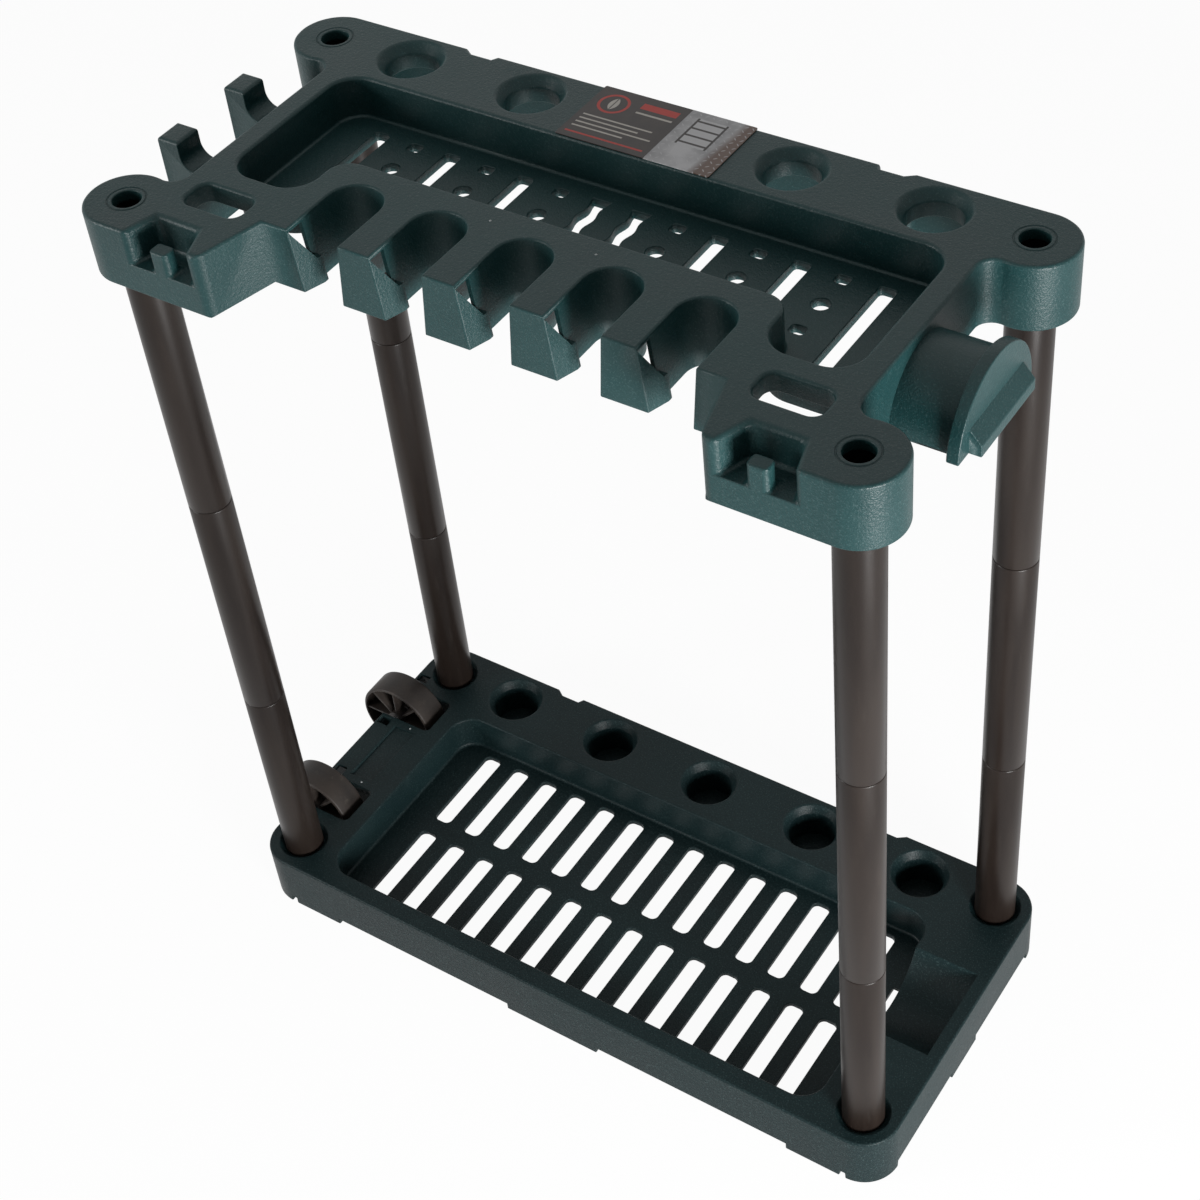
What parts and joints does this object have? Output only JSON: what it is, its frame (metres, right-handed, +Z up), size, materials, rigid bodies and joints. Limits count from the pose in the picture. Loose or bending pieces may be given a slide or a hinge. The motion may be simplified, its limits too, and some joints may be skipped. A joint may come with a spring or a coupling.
{
  "type": "freestanding garden tool rack",
  "caption": "Wheeled floor rack: a base tray with sockets and a grille, plug-together poles, and an upper tray with handle holes, open notches, basin, hooks and a hose saddle.",
  "frame": {"origin": "on the floor under the middle of the overall length and depth", "axes": "+X along the rack towards the hose saddle, +Y from the finger row towards the handle rail, +Z up"},
  "size_m": [0.613, 0.2702, 0.6793],
  "materials": {
    "top_tray_green": "fine-grained dark green moulding",
    "base_tray_green": "fine-grained dark green moulding",
    "pole_brown": "satin brown-black extrusion",
    "wheel_black": "scuffed brown-black moulding",
    "pin_steel": "plain drawn wire",
    "card_print": "coated printed card"
  },
  "bodies": {
    "rack": {"top_handle_rail": "top_tray_green", "top_centre_bay": "top_tray_green", "top_left_bay": "top_tray_green", "top_right_bay": "top_tray_green", "top_left_back_corner": "top_tray_green", "top_right_back_corner": "top_tray_green", "top_left_front_corner": "top_tray_green", "top_right_front_corner": "top_tray_green", "top_left_pocket_block": "top_tray_green", "top_right_pocket_block": "top_tray_green", "top_left_slot_block": "top_tray_green", "top_right_slot_block": "top_tray_green", "top_side_hooks": "top_tray_green", "top_hose_saddle": "top_tray_green", "base_handle_rail": "base_tray_green", "base_grille": "base_tray_green", "base_left_end": "base_tray_green", "base_right_end": "base_tray_green", "tube_front_left_lower": "pole_brown", "tube_front_left_middle": "pole_brown", "tube_front_left_upper": "pole_brown", "tube_front_right_lower": "pole_brown", "tube_front_right_middle": "pole_brown", "tube_front_right_upper": "pole_brown", "tube_back_left_lower": "pole_brown", "tube_back_left_middle": "pole_brown", "tube_back_left_upper": "pole_brown", "tube_back_right_lower": "pole_brown", "tube_back_right_middle": "pole_brown", "tube_back_right_upper": "pole_brown", "axle_pin_front": "pin_steel", "axle_pin_back": "pin_steel"},
    "wheel_front": {"wheel_front": "wheel_black"},
    "wheel_back": {"wheel_back": "wheel_black"},
    "card": {"info_card": "card_print"}
  },
  "joints": [
    {"name": "wheel_front_spin", "type": "hinge", "parent": "rack", "child": "wheel_front", "pos_m": [-0.2715, -0.058, 0.0365], "axis": [0, 1, 0], "continuous": true},
    {"name": "wheel_back_spin", "type": "hinge", "parent": "rack", "child": "wheel_back", "pos_m": [-0.2715, 0.058, 0.0365], "axis": [0, 1, 0], "continuous": true},
    {"name": "card_lift", "type": "slide", "parent": "rack", "child": "card", "axis": [0, 0, 1], "range_m": [0, 0.06]}
  ]
}
